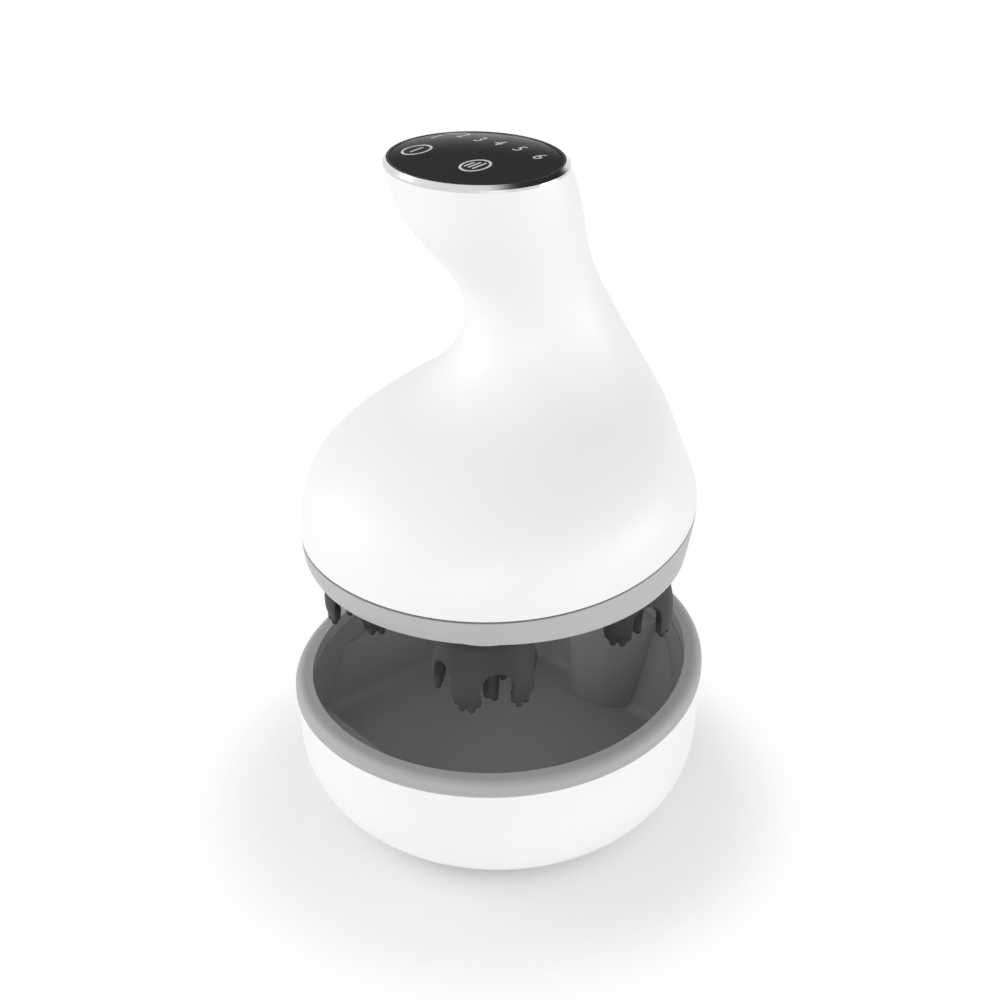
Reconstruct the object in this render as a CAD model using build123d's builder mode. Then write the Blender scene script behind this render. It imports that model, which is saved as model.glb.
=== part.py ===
"""Electric scalp massager with its charging dock, in millimetres.

The massager is a hollow gourd-shaped housing on a grey chassis that carries four
turning claw heads, one gear train, a motor, a cell and a touch panel.  It stands
lifted off a round dock.  +Z is up, -Y is the front, and the origin is the centre of
the dock's footprint.
"""
import os
from math import atan2, cos, degrees, pi, radians, sin, sqrt, tan

from build123d import *

# ---------------------------------------------------------------- driving sizes
lift = 36.0             # height of the massager above its place in the dock

# Massager heights are given as docked heights, and every one is raised by lift.
form_stations = (       # height, centre y, half width x, half depth y, forward tilt
    (lift + 39.0, 0.0, 47.8, 47.8, 3.1),
    (lift + 45.0, 0.0, 49.2, 49.2, 5.6),
    (lift + 51.0, 0.0, 50.1, 50.1, 8.2),
    (lift + 62.0, -1.2, 49.7, 46.3, 8.0),
    (lift + 68.0, -0.2, 46.1, 43.6, 8.0),
    (lift + 74.0, 2.9, 40.1, 39.5, 8.0),
    (lift + 80.0, 7.9, 32.8, 32.7, 8.0),
    (lift + 86.0, 12.4, 26.1, 25.7, 8.0),
    (lift + 98.0, 13.4, 19.2, 18.3, 8.0),
    (lift + 111.0, 7.8, 18.1, 16.1, 7.5),
    (lift + 124.0, -0.5, 22.5, 18.4, 7.0),
    (lift + 131.0, -3.9, 24.8, 18.5, 7.0),
    (lift + 138.1, -6.7, 25.5, 17.7, 7.0),
)
# A slanting edge is its height on the axis, and its slant and its bend over edge_span.
edge_span = 50.0
seam_edge = (lift + 49.1, 7.1, 3.6)
ring_edge = (lift + 40.4, 2.7, 1.1)
split_edge = (39.0, 4.95, 2.1)
ledge_edge = (32.8, 5.1, 0.5)

wall = 2.0              # housing wall
lip_gap = 0.25          # chassis lip to housing wall
lip_wall = 1.0          # chassis lip
lip_drop = 4.0          # lip's foot under the seam
lip_rise = 2.5          # lip's top over the seam
seal_height = 0.6       # seal between housing and chassis
seal_inset = 0.5        # seal's groove behind the outer skin
deck = 2.0              # housing deck under the touch panel
fit_gap = 0.05          # running clearance of a shaft, on the radius
press_gap = 0.02        # clearance of a pressed or glued part, on the radius
seat_gap = 0.3          # clearance of a piece that is set into another
pass_gap = 0.5          # clearance of a piece that passes another or turns by it
screw_gap = 0.2         # clearance hole over a screw, on the radius

head_circle = 33.0      # centre of the massager to a head's axis
head_angles = {"front_right": -45, "back_right": 45, "back_left": 135, "front_left": 225}
head_turn = -24.0       # first claw, turned from the line that leaves the centre
head_tip = lift + 17.5  # lowest point of the claws
head_top = lift + 36.6  # flat top of the soft head
head_roof = lift + 30.0     # underside of the roof between the claws
claw_count = 5
claw_foot = 1.6         # height of the claws' foot over the tips of the nubs
slot_height = 11.0      # top of the slot between two claws, over the tips
slot_foot = 7.6         # width of that slot at the claws' foot
slot_head = 3.8         # width of that slot under its round top
head_neck_r = 9.6       # soft head's outside at its flat top
head_shoulder = (11.8, 5.6)     # radius and depth under the flat top
head_belly = (13.1, 11.6)       # the same where the head is widest
head_foot_r = 12.6
claw_wall = 3.2         # thickness of a claw at its foot
mouth_belly = (10.4, 5.6)       # inside of the claws, radius and height over their foot
mouth_shoulder = (8.4, 1.2)     # and under the roof, radius and depth
mouth_roof_r = 5.0
nub_r = 0.9
nub_rise = 2.0          # outer nubs over the inner ones
nub_spread = (1.15, 2.75)   # inner and outer nub, from the claw's middle
nub_circle = 11.0       # head axis to the nubs

boss_r = 13.0           # chassis boss round each head's spindle
boss_foot = lift + 37.3
floor_top = lift + 46.4     # chassis floor under the gears
gear_foot = lift + 47.0
gear_height = 5.0
gear_hub = 0.4          # gear hub past the toothed rim, each side
sun_hub = 4.0           # hub wall of the sun gear and of a head gear
head_gear_hub = 2.5
module = 1.5
sun_teeth = 28
head_teeth = 16
backlash = 0.16         # taken off each tooth's thickness
pressure_angle = 20.0
addendum = 0.75         # tooth tip over the pitch circle, in modules
dedendum = 1.1          # tooth root under it

spindle_r = 2.5
spindle_foot = lift + 32.4
spindle_top = lift + 56.5
hub_flange_r = 8.0
hub_neck_r = 4.6
hub_foot = lift + 31.6
hub_flange = 2.0
hub_top = lift + 38.6
bush_r = 5.0
seal_r = 6.5
seal_foot = lift + 38.9
bush_foot = lift + 40.6

shaft_r = 3.0           # motor shaft that carries the sun gear
shaft_foot = lift + 42.6
shaft_top = lift + 63.8

cover_foot = lift + 53.0
cover_height = 2.0
cover_r = 44.0
cover_post_r = 2.6
cover_post_circle = 41.0
cover_post_turn = 15.0
housing_post_r = 3.4
housing_post_circle = 42.0
housing_post_top = lift + 74.0
screw_r = 1.4
screw_head_r = 2.9
screw_head = 1.2
screw_sink = 0.6        # screw head's face inside the chassis underside
screw_grip = 8.0        # length of a chassis screw in the housing's post
post_bore = 12.0        # depth of that post's hole
small_screw_r = 1.2
small_head_r = 2.2
small_head = 1.2
small_grip = 5.0        # length of a small screw in what it holds on to
bore_end = 0.5          # hole past a screw's end
recess_arm = 2.4        # cross recess of every screw
recess_slot = 0.7
recess_depth = 0.7

motor_flange_r = 18.0
motor_flange = 1.5
motor_screw_circle = 15.2
gearcase_r = 12.0
gearcase_height = 9.0
can_r = 10.0
can_height = 18.0
can_boss = 1.5          # bearing boss on the motor's end

cell_r = 7.0
cell_length = 43.0
cell_lean = 23.6        # follows the neck
cell_foot = (14.8, lift + 88.0)     # y and height of the cell's lower end
cell_cap = 1.0          # cell's raised contact
sleeve_wall = 1.5
sleeve_start = 2.0      # cell holder's sleeve over the cell's lower end
sleeve_stop = 3.0       # and under its upper end
window_start = 6.0      # opening in the sleeve's front, over the cell's lower end
holder_flange = lift + 122.0
holder_flange_height = 2.0

bezel_wall = 1.6
bezel_height = 1.5
bezel_chamfer = 0.9
glass_gap = 0.15
glass_edge = 1.4        # glass rim over the deck
glass_dome = 0.8        # middle of the glass over its rim
dome_share = 1.35       # dome's half widths over the glass's, so its rim is an ellipse
gasket_height = 0.6
gasket_width = 2.6
board_height = 1.2
led_size = (1.6, 0.8)
led_gap = 0.1           # light to the underside of the glass
figure_pitch = 6.5      # lights behind the figures
figure_depth = 5.0
state_depth = 12.3      # light of the charging state, behind the figures
led_count = 6
main_board_size = (30.0, 16.0, 2.0)     # width, depth and corner
main_board_y = -28.0
main_post_x = 11.0
main_post_r = 2.2
main_post = 4.0         # board over the gear cover
chip_height = 1.2
control_chip = 7.0      # square chip of the main board
control_chip_x = -5.0
driver_chip = (8.0, 4.0)
driver_chip_at = (8.0, -3.0)    # from the board's middle

pad_r = 2.0
pad_height = 1.0
pad_sink = 0.1          # pad's face inside the chassis underside
pad_x = 6.0
pad_y = 35.0

dock_r = 54.0
dock_flare = 2.0        # side's lean from the ground up to dock_side_top
dock_side_top = 39.0    # the side is upright above this height
dock_corner = 24.8
dock_wall = 1.7
foot_height = 0.8       # ground to the underside of the dock
rim_width = 4.6
rim_height = 3.5
rim_round = 2.4
mouth_gap = 0.4         # liner's mouth inside the rim
bowl_floor = 14.2
bowl_skin = 1.6
bowl_corner = 3.5       # rounding between the bowl's floor and its walls
bowl_side_wall = 1.0    # least wall round the bowl
# The bowl's walls are set off from the lines through the heads' axes.
front_room = 15.6       # front and back walls at the floor
side_room = 18.2
floor_round = 17.4      # its upright corners at the floor
mouth_front_room = 16.1     # front wall at mouth_height
mouth_side_room = 23.7
mouth_back_room = 22.5
mouth_round = 24.0
mouth_height = 40.0
bulge_r = 14.0          # housing of the charging pins, in the bowl's back wall
bulge_y = 45.8
bulge_top = 40.8
pin_r = 1.0
pin_top = 42.5
pin_length = 7.0
plate_r = 27.6
plate_height = 1.6
plate_skin = 0.6        # left of the plate over a screw's head
foot_pad_r = 4.5
foot_pad_sink = 0.6
foot_pad_circle = 22.5
foot_round = 0.3
dock_screw_circle = 22.0
dock_head = 0.9
dock_boss_r = 3.2
dock_board_r = 17.5
dock_board_z = 6.0
dock_chip = 2.0
dock_coil = 8.0         # square coil of the charging circuit
dock_coil_x = -7.0
dock_cap = (6.0, 9.0)
dock_cap_at = (8.0, 2.0)
dock_post_circle = 13.0
dock_post_r = 2.2
inlet_width = 8.9
inlet_height = 3.2
inlet_wall = 0.4
inlet_length = 8.0
inlet_sink = 2.0        # socket's mouth inside the dock's radius
inlet_floor = 1.0
inlet_tongue = 6.0
inlet_z = 22.0

reach = 70.0            # half size of a cutting block, past every piece
above_all = 300.0

# -------------------------------------------------------------- worked-out sizes
right_angles = (0, 90, 180, 270)
head_offset = head_circle / sqrt(2)
head_gear_r = module * (head_teeth / 2 + addendum)
rim_inner_r = dock_r - rim_width
dock_foot_r = dock_r - dock_flare
cover_top = cover_foot + cover_height
plate_foot = foot_height
plate_top = plate_foot + plate_height
top_station = form_stations[-1]
panel_plane = Plane(origin=(0, top_station[1], top_station[0])).rotated((top_station[4], 0, 0))
bezel_x, bezel_y = top_station[2], top_station[3]
glass_x = bezel_x - bezel_wall - glass_gap
glass_y = bezel_y - bezel_wall - glass_gap
opening_x, opening_y = glass_x - gasket_width / 2, glass_y - gasket_width / 2


def export(part, name):
    """Label a finished piece and write it as its own file."""
    part.label = name
    export_step(part, f"parts/{name}.step")


def edge_height(edge, y):
    """Height of a slanting, slightly curved edge at a depth y."""
    middle, slant, bend = edge
    return middle + slant * y / edge_span + bend * (y / edge_span) ** 2


def block_over(edge, rise=0.0):
    """Block that fills all space above a slanting edge, raised by rise."""
    low = [edge_height(edge, y) + rise for y in (-reach, 0, reach)]
    with BuildPart() as block:
        with BuildSketch(Plane.YZ):
            with BuildLine():
                ThreePointArc((-reach, low[0]), (0, low[1]), (reach, low[2]))
                Polyline((reach, low[2]), (reach, above_all), (-reach, above_all), (-reach, low[0]))
            make_face()
        extrude(amount=reach, both=True)
    return block.part


def body_form(inset=0.0):
    """Outer form of the massager, drawn in sideways by inset."""
    with BuildPart() as form:
        for height, centre_y, half_x, half_y, tilt in form_stations:
            with BuildSketch(Plane(origin=(0, centre_y, height)).rotated((tilt, 0, 0))):
                Ellipse(half_x - inset, half_y - inset)
        loft()
    return form.part


def at_angle(radius, angle):
    """Point on a circle about the massager's axis."""
    return radius * cos(radians(angle)), radius * sin(radians(angle))


def head_places():
    return [at_angle(head_circle, angle) for angle in head_angles.values()]


def cross_recess(places):
    """Outline of the cross recess in each of a group of screws."""
    with Locations(*places):
        Rectangle(recess_arm, recess_slot)
        Rectangle(recess_slot, recess_arm)


def gear_outline(teeth, first_tooth):
    """Points round a spur gear with involute flanks and a tooth at first_tooth degrees."""
    pitch_r = module * teeth / 2
    base_r = pitch_r * cos(radians(pressure_angle))
    tip_r = pitch_r + addendum * module
    root_r = pitch_r - dedendum * module
    spread = tan(radians(pressure_angle)) - radians(pressure_angle)
    half_tooth = (pi * module / 2 - backlash) / (2 * pitch_r)

    def flank(radius):
        """Half the tooth's angle at a radius."""
        roll = sqrt(max((radius / base_r) ** 2 - 1, 0))
        return half_tooth + spread - (roll - atan2(roll, 1))

    low_r = max(base_r, root_r)
    radii = [low_r + (tip_r - low_r) * step / 3 for step in range(4)]
    flanks = [(root_r, flank(low_r))] + [(radius, flank(radius)) for radius in radii]
    points = []
    for tooth in range(teeth):
        middle = radians(first_tooth) + 2 * pi * tooth / teeth
        sides = [(r, middle - half) for r, half in flanks]
        sides += [(r, middle + half) for r, half in reversed(flanks)]
        points += [(r * cos(angle), r * sin(angle)) for r, angle in sides]
    return points


def spur_gear(teeth, first_tooth, bore_r, hub_r):
    """Toothed rim with a hub that stands past it on both sides."""
    with BuildPart() as gear:
        with BuildSketch(Plane.XY.offset(gear_foot)):
            with BuildLine():
                Polyline(*gear_outline(teeth, first_tooth), close=True)
            make_face()
        extrude(amount=gear_height)
        with BuildSketch(Plane.XY.offset(gear_foot - gear_hub)):
            Circle(hub_r)
        extrude(amount=gear_height + 2 * gear_hub)
        with BuildSketch(Plane.XY.offset(gear_foot - gear_hub)):
            Circle(bore_r)
        extrude(amount=gear_height + 2 * gear_hub, mode=Mode.SUBTRACT)
    return gear.part


os.makedirs("parts", exist_ok=True)

outer_form = body_form()
inner_form = body_form(wall)
over_seam = block_over(seam_edge)

# ------------------------------------------------------------------ main housing
with BuildPart() as cavity:
    add(inner_form)
    with BuildSketch(panel_plane.offset(-deck)):
        Rectangle(2 * reach, 2 * reach)
    extrude(amount=reach, mode=Mode.SUBTRACT)

with BuildPart() as post_form:
    with BuildSketch(Plane.XY.offset(floor_top + seat_gap)):
        with Locations(*[at_angle(housing_post_circle, angle) for angle in right_angles]):
            Circle(housing_post_r)
    extrude(amount=housing_post_top - floor_top)
    add(body_form(wall / 2), mode=Mode.INTERSECT)

with BuildPart() as main_housing:
    add(outer_form)
    add(over_seam, mode=Mode.INTERSECT)
    add(cavity.part, mode=Mode.SUBTRACT)
    with BuildSketch(panel_plane):
        Ellipse(opening_x, opening_y)
    extrude(amount=-deck, mode=Mode.SUBTRACT)
    add(post_form.part)
    with BuildSketch(Plane.XY.offset(floor_top)):
        with Locations(*[at_angle(housing_post_circle, angle) for angle in right_angles]):
            Circle(screw_r + press_gap)
    extrude(amount=post_bore, mode=Mode.SUBTRACT)
export(main_housing.part, "main_housing")

# ----------------------------------------------------------------- lower chassis
lip_inset = wall + lip_gap
ring_top = block_over(seam_edge, -seal_height)
pad_foot = edge_height(ring_edge, pad_y) + pad_sink
pad_places = [(-pad_x, pad_y), (pad_x, pad_y)]

with BuildPart() as lip:
    add(body_form(lip_inset))
    add(block_over(seam_edge, -lip_drop), mode=Mode.INTERSECT)
    add(block_over(seam_edge, lip_rise), mode=Mode.SUBTRACT)

with BuildPart() as gear_room:
    add(body_form(lip_inset + lip_wall))
    with BuildSketch(Plane.XY.offset(floor_top)):
        Rectangle(2 * reach, 2 * reach)
    extrude(amount=-reach, mode=Mode.SUBTRACT)

with BuildPart() as lower_chassis:
    add(outer_form)
    add(ring_top, mode=Mode.SUBTRACT)
    add(lip.part)
    add(block_over(ring_edge), mode=Mode.INTERSECT)
    add(gear_room.part, mode=Mode.SUBTRACT)
    with BuildSketch(Plane.XY.offset(floor_top)):
        with Locations(*head_places()):
            Circle(head_gear_r + pass_gap)
        with Locations(*[at_angle(housing_post_circle, angle) for angle in right_angles]):
            Circle(housing_post_r + pass_gap)
    extrude(amount=reach, mode=Mode.SUBTRACT)
    with BuildSketch(Plane.XY.offset(boss_foot)):
        with Locations(*head_places()):
            Circle(boss_r)
    extrude(amount=floor_top - boss_foot)
    with BuildSketch(Plane.XY.offset(floor_top)):
        with Locations(*[at_angle(cover_post_circle, cover_post_turn + a) for a in right_angles]):
            Circle(cover_post_r)
    extrude(amount=cover_foot - floor_top)
    with BuildSketch(Plane.XY.offset(floor_top)):
        with Locations(*head_places()):
            Circle(bush_r + press_gap)
    extrude(amount=boss_foot - floor_top, mode=Mode.SUBTRACT)
    with BuildSketch(Plane.XY.offset(bush_foot)):
        with Locations(*head_places()):
            Circle(seal_r + press_gap)
    extrude(amount=boss_foot - bush_foot, mode=Mode.SUBTRACT)
    with BuildSketch(Plane.XY.offset(floor_top)):
        Circle(shaft_r + fit_gap)
    extrude(amount=shaft_foot - seat_gap - floor_top, mode=Mode.SUBTRACT)
    for angle in right_angles:
        x, y = at_angle(housing_post_circle, angle)
        seat = edge_height(ring_edge, y) + screw_head + screw_sink
        with BuildSketch(Plane.XY.offset(floor_top)):
            with Locations((x, y)):
                Circle(screw_r + screw_gap)
        extrude(amount=-reach, mode=Mode.SUBTRACT)
        with BuildSketch(Plane.XY.offset(seat)):
            with Locations((x, y)):
                Circle(screw_head_r + screw_gap)
        extrude(amount=-reach, mode=Mode.SUBTRACT)
    with BuildSketch(Plane.XY.offset(cover_foot)):
        with Locations(*[at_angle(cover_post_circle, cover_post_turn + a) for a in right_angles]):
            Circle(small_screw_r + press_gap)
    extrude(amount=-small_grip - bore_end, mode=Mode.SUBTRACT)
    with BuildSketch(Plane.XY.offset(pad_foot + pad_height)):
        with Locations(*pad_places):
            Circle(pad_r + press_gap)
    extrude(amount=-reach, mode=Mode.SUBTRACT)
export(lower_chassis.part, "lower_chassis")

# ------------------------------------------------------------------ housing seal
with BuildPart() as housing_seal:
    add(body_form(seal_inset))
    add(block_over(seam_edge, -seal_height), mode=Mode.INTERSECT)
    add(over_seam, mode=Mode.SUBTRACT)
    add(inner_form, mode=Mode.SUBTRACT)
export(housing_seal.part, "housing_seal")

# ------------------------------------------------------------------- touch panel
with BuildPart() as panel_bezel:
    with BuildSketch(panel_plane):
        Ellipse(bezel_x, bezel_y)
        Ellipse(bezel_x - bezel_wall, bezel_y - bezel_wall, mode=Mode.SUBTRACT)
    extrude(amount=bezel_height)
    top_edges = panel_bezel.faces().sort_by(Axis.Z)[-1].edges().sort_by(SortBy.LENGTH)
    chamfer(top_edges[-1], bezel_chamfer)
export(panel_bezel.part, "panel_bezel")

dome_depth = glass_dome / (1 - sqrt(1 - 1 / dome_share**2))
dome = scale(Sphere(1), by=(dome_share * glass_x, dome_share * glass_y, dome_depth))
dome_centre = glass_edge + glass_dome - dome_depth
with BuildPart() as panel_glass:
    with BuildSketch(panel_plane.offset(gasket_height)):
        Ellipse(glass_x, glass_y)
    extrude(amount=glass_edge + glass_dome)
    add(panel_plane.offset(dome_centre).location * dome, mode=Mode.INTERSECT)
export(panel_glass.part, "panel_glass")

with BuildPart() as panel_gasket:
    with BuildSketch(panel_plane):
        Ellipse(glass_x, glass_y)
        Ellipse(glass_x - gasket_width, glass_y - gasket_width, mode=Mode.SUBTRACT)
    extrude(amount=gasket_height)
export(panel_gasket.part, "panel_gasket")

board_x, board_y = opening_x - fit_gap, opening_y - fit_gap
with BuildPart() as touch_board:
    with BuildSketch(panel_plane):
        Ellipse(board_x, board_y)
    extrude(amount=-board_height)
export(touch_board.part, "touch_board")

led_middle = (led_count - 1) / 2
led_places = [((led - led_middle) * figure_pitch, figure_depth) for led in range(led_count)]
with BuildPart() as indicator_leds:
    with BuildSketch(panel_plane):
        with Locations(*led_places, (0, state_depth)):
            Rectangle(*led_size)
    extrude(amount=gasket_height - led_gap)
export(indicator_leds.part, "indicator_leds")

# ---------------------------------------------------------------- cell and holder
cell_plane = Plane(origin=(0, cell_foot[0], cell_foot[1])).rotated((cell_lean, 0, 0))
with BuildPart() as battery_cell:
    with BuildSketch(cell_plane):
        Circle(cell_r)
    extrude(amount=cell_length)
    with BuildSketch(cell_plane.offset(cell_length)):
        Circle(cell_r / 3)
    extrude(amount=cell_cap)
export(battery_cell.part, "battery_cell")

sleeve_r = cell_r + seat_gap + sleeve_wall
with BuildPart() as holder_plate:
    add(body_form(wall + seat_gap))
    with BuildSketch(Plane.XY.offset(holder_flange)):
        Rectangle(2 * reach, 2 * reach)
    extrude(amount=-2 * reach, mode=Mode.SUBTRACT)
    with BuildSketch(Plane.XY.offset(holder_flange + holder_flange_height)):
        Rectangle(2 * reach, 2 * reach)
    extrude(amount=2 * reach, mode=Mode.SUBTRACT)

with BuildPart() as battery_holder:
    add(holder_plate.part)
    with BuildSketch(cell_plane.offset(sleeve_start)):
        Circle(sleeve_r)
    extrude(amount=cell_length - sleeve_start - sleeve_stop)
    with BuildSketch(cell_plane):
        Circle(cell_r + seat_gap)
    extrude(amount=reach, mode=Mode.SUBTRACT)
    with BuildSketch(cell_plane.offset(window_start)):
        with Locations((0, -sleeve_r)):
            Rectangle(cell_r, 2 * sleeve_r)
    extrude(amount=cell_length / 2, mode=Mode.SUBTRACT)
export(battery_holder.part, "battery_holder")

# -------------------------------------------------------------------- gear cover
post_places = [at_angle(cover_post_circle, cover_post_turn + angle) for angle in right_angles]
housing_posts = [at_angle(housing_post_circle, angle) for angle in right_angles]
main_posts = [(-main_post_x, main_board_y), (main_post_x, main_board_y)]
with BuildPart() as gear_cover:
    with BuildSketch(Plane.XY.offset(cover_foot)):
        Circle(cover_r)
        with Locations(*housing_posts):
            Circle(housing_post_r + pass_gap, mode=Mode.SUBTRACT)
        with Locations(*head_places()):
            Circle(spindle_r + fit_gap, mode=Mode.SUBTRACT)
        with Locations(*post_places):
            Circle(small_screw_r + screw_gap, mode=Mode.SUBTRACT)
        Circle(shaft_r + pass_gap, mode=Mode.SUBTRACT)
    extrude(amount=cover_height)
    with BuildSketch(Plane.XY.offset(cover_top)):
        with Locations(*main_posts):
            Circle(main_post_r)
    extrude(amount=main_post)
export(gear_cover.part, "gear_cover")

with BuildPart() as cover_screws:
    with BuildSketch(Plane.XY.offset(cover_top)):
        with Locations(*post_places):
            Circle(small_head_r)
    extrude(amount=small_head)
    with BuildSketch(Plane.XY.offset(cover_top)):
        with Locations(*post_places):
            Circle(small_screw_r)
    extrude(amount=-cover_height - small_grip)
    with BuildSketch(Plane.XY.offset(cover_top + small_head)):
        cross_recess(post_places)
    extrude(amount=-recess_depth, mode=Mode.SUBTRACT)
export(cover_screws.part, "cover_screws")

main_board_z = cover_top + main_post
with BuildPart() as main_board:
    with BuildSketch(Plane.XY.offset(main_board_z)):
        with Locations((0, main_board_y)):
            RectangleRounded(*main_board_size)
    extrude(amount=board_height)
    with BuildSketch(Plane.XY.offset(main_board_z + board_height)):
        with Locations((control_chip_x, main_board_y)):
            Rectangle(control_chip, control_chip)
        with Locations((driver_chip_at[0], main_board_y + driver_chip_at[1])):
            Rectangle(*driver_chip)
    extrude(amount=chip_height)
export(main_board.part, "main_board")

# -------------------------------------------------------------------- gear motor
motor_screw_places = [(-motor_screw_circle, 0), (motor_screw_circle, 0)]
with BuildPart() as gear_motor:
    with BuildSketch(Plane.XY.offset(cover_top)):
        Circle(motor_flange_r)
        with Locations(*motor_screw_places):
            Circle(small_screw_r + screw_gap, mode=Mode.SUBTRACT)
    extrude(amount=motor_flange)
    with BuildSketch(Plane.XY.offset(cover_top)):
        Circle(gearcase_r)
    extrude(amount=gearcase_height)
    with BuildSketch(Plane.XY.offset(cover_top + gearcase_height)):
        Circle(can_r)
    extrude(amount=can_height)
    with BuildSketch(Plane.XY.offset(cover_top + gearcase_height + can_height)):
        Circle(can_r / 3)
    extrude(amount=can_boss)
    with BuildSketch(Plane.XY.offset(cover_top)):
        Circle(shaft_r + fit_gap)
    extrude(amount=gearcase_height, mode=Mode.SUBTRACT)
export(gear_motor.part, "gear_motor")

with BuildPart() as motor_screws:
    with BuildSketch(Plane.XY.offset(cover_top + motor_flange)):
        with Locations(*motor_screw_places):
            Circle(small_head_r)
    extrude(amount=small_head)
    with BuildSketch(Plane.XY.offset(cover_top + motor_flange)):
        with Locations(*motor_screw_places):
            Circle(small_screw_r)
    extrude(amount=-motor_flange)
    with BuildSketch(Plane.XY.offset(cover_top + motor_flange + small_head)):
        cross_recess(motor_screw_places)
    extrude(amount=-recess_depth, mode=Mode.SUBTRACT)
export(motor_screws.part, "motor_screws")

# ------------------------------------------------------------- sun gear and shaft
with BuildPart() as drive_shaft:
    with BuildSketch(Plane.XY.offset(shaft_foot)):
        Circle(shaft_r)
    extrude(amount=shaft_top - shaft_foot)
export(drive_shaft.part, "drive_shaft")

contact_angle = head_angles["front_right"]
sun_gear = spur_gear(sun_teeth, contact_angle, shaft_r + press_gap, shaft_r + sun_hub)
export(sun_gear, "sun_gear")

# ------------------------------------------------------------ bushes, seals, pads
with BuildPart() as spindle_bushes:
    with BuildSketch(Plane.XY.offset(bush_foot)):
        with Locations(*head_places()):
            Circle(bush_r)
            Circle(spindle_r + fit_gap, mode=Mode.SUBTRACT)
    extrude(amount=floor_top - bush_foot)
export(spindle_bushes.part, "spindle_bushes")

with BuildPart() as spindle_seals:
    with BuildSketch(Plane.XY.offset(seal_foot)):
        with Locations(*head_places()):
            Circle(seal_r)
            Circle(spindle_r + fit_gap, mode=Mode.SUBTRACT)
    extrude(amount=bush_foot - seal_foot)
export(spindle_seals.part, "spindle_seals")

with BuildPart() as charge_pads:
    with BuildSketch(Plane.XY.offset(pad_foot)):
        with Locations(*pad_places):
            Circle(pad_r)
    extrude(amount=pad_height)
export(charge_pads.part, "charge_pads")

with BuildPart() as chassis_screws:
    for x, y in housing_posts:
        seat = edge_height(ring_edge, y) + screw_head + screw_sink
        with BuildSketch(Plane.XY.offset(seat)):
            with Locations((x, y)):
                Circle(screw_head_r)
        extrude(amount=-screw_head)
        with BuildSketch(Plane.XY.offset(seat)):
            with Locations((x, y)):
                Circle(screw_r)
        extrude(amount=floor_top + screw_grip - seat)
        with BuildSketch(Plane.XY.offset(seat - screw_head)):
            cross_recess([(x, y)])
        extrude(amount=recess_depth, mode=Mode.SUBTRACT)
export(chassis_screws.part, "chassis_screws")


# ----------------------------------------------------------------- massage heads
def soft_head():
    """Bell of soft claws on the massager's axis, first claw towards +X."""
    foot = head_tip + claw_foot
    neck, rim_out = (head_neck_r, head_top), (head_foot_r, foot)
    rim_in, roof = (head_foot_r - claw_wall, foot), (mouth_roof_r, head_roof)
    shoulder_out = (head_shoulder[0], head_top - head_shoulder[1])
    belly_out = (head_belly[0], head_top - head_belly[1])
    belly_in = (mouth_belly[0], foot + mouth_belly[1])
    shoulder_in = (mouth_shoulder[0], head_roof - mouth_shoulder[1])
    with BuildPart() as head:
        with BuildSketch(Plane.XZ):
            with BuildLine():
                Polyline((0, head_roof), (0, head_top), neck)
                Spline(neck, shoulder_out, belly_out, rim_out, tangents=((1, -0.35), (-0.25, -1)))
                Line(rim_out, rim_in)
                Spline(rim_in, belly_in, shoulder_in, roof, tangents=((0.1, 1), (-1, 0.1)))
                Line(roof, (0, head_roof))
            make_face()
        revolve(axis=Axis.Z)
        for claw in range(claw_count):
            turn = 360 * (claw + 0.5) / claw_count
            side = Plane(origin=(0, 0, head_tip), x_dir=(-sin(radians(turn)), cos(radians(turn)), 0),
                         z_dir=(cos(radians(turn)), sin(radians(turn)), 0))
            with BuildSketch(side):
                with BuildLine():
                    shoulder = slot_height - slot_head / 2
                    Polyline((-slot_head / 2, shoulder), (-slot_foot / 2, 0),
                             (slot_foot / 2, 0), (slot_head / 2, shoulder))
                    ThreePointArc((slot_head / 2, shoulder), (0, slot_height),
                                  (-slot_head / 2, shoulder))
                make_face()
            extrude(amount=reach, mode=Mode.SUBTRACT)
        for claw in range(claw_count):
            for rank, spread in enumerate(nub_spread):
                bottom = head_tip + rank * nub_rise
                for hand in (-1, 1):
                    turn = 360 * claw / claw_count + degrees(hand * spread / nub_circle)
                    x, y = at_angle(nub_circle, turn)
                    with BuildSketch(Plane.XY.offset(bottom + nub_r)):
                        with Locations((x, y)):
                            Circle(nub_r)
                    extrude(amount=nub_rise)
                    with Locations((x, y, bottom + nub_r)):
                        Sphere(nub_r)
        with BuildSketch(Plane.XY.offset(head_roof)):
            Circle(nub_r)
        extrude(amount=-nub_rise)
        with Locations((0, 0, head_roof - nub_rise)):
            Sphere(nub_r)
        with BuildSketch(Plane.XY.offset(hub_foot)):
            Circle(hub_flange_r + press_gap)
        extrude(amount=hub_flange, mode=Mode.SUBTRACT)
        with BuildSketch(Plane.XY.offset(hub_foot)):
            Circle(hub_neck_r + press_gap)
        extrude(amount=head_top - hub_foot, mode=Mode.SUBTRACT)
    return head.part


with BuildPart() as head_hub:
    with BuildSketch(Plane.XY.offset(hub_foot)):
        Circle(hub_flange_r)
    extrude(amount=hub_flange)
    with BuildSketch(Plane.XY.offset(hub_foot)):
        Circle(hub_neck_r)
    extrude(amount=hub_top - hub_foot)
    with BuildSketch(Plane.XY.offset(spindle_foot)):
        Circle(spindle_r + press_gap)
    extrude(amount=hub_top - spindle_foot, mode=Mode.SUBTRACT)

with BuildPart() as spindle:
    with BuildSketch(Plane.XY.offset(spindle_foot)):
        Circle(spindle_r)
    extrude(amount=spindle_top - spindle_foot)

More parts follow.
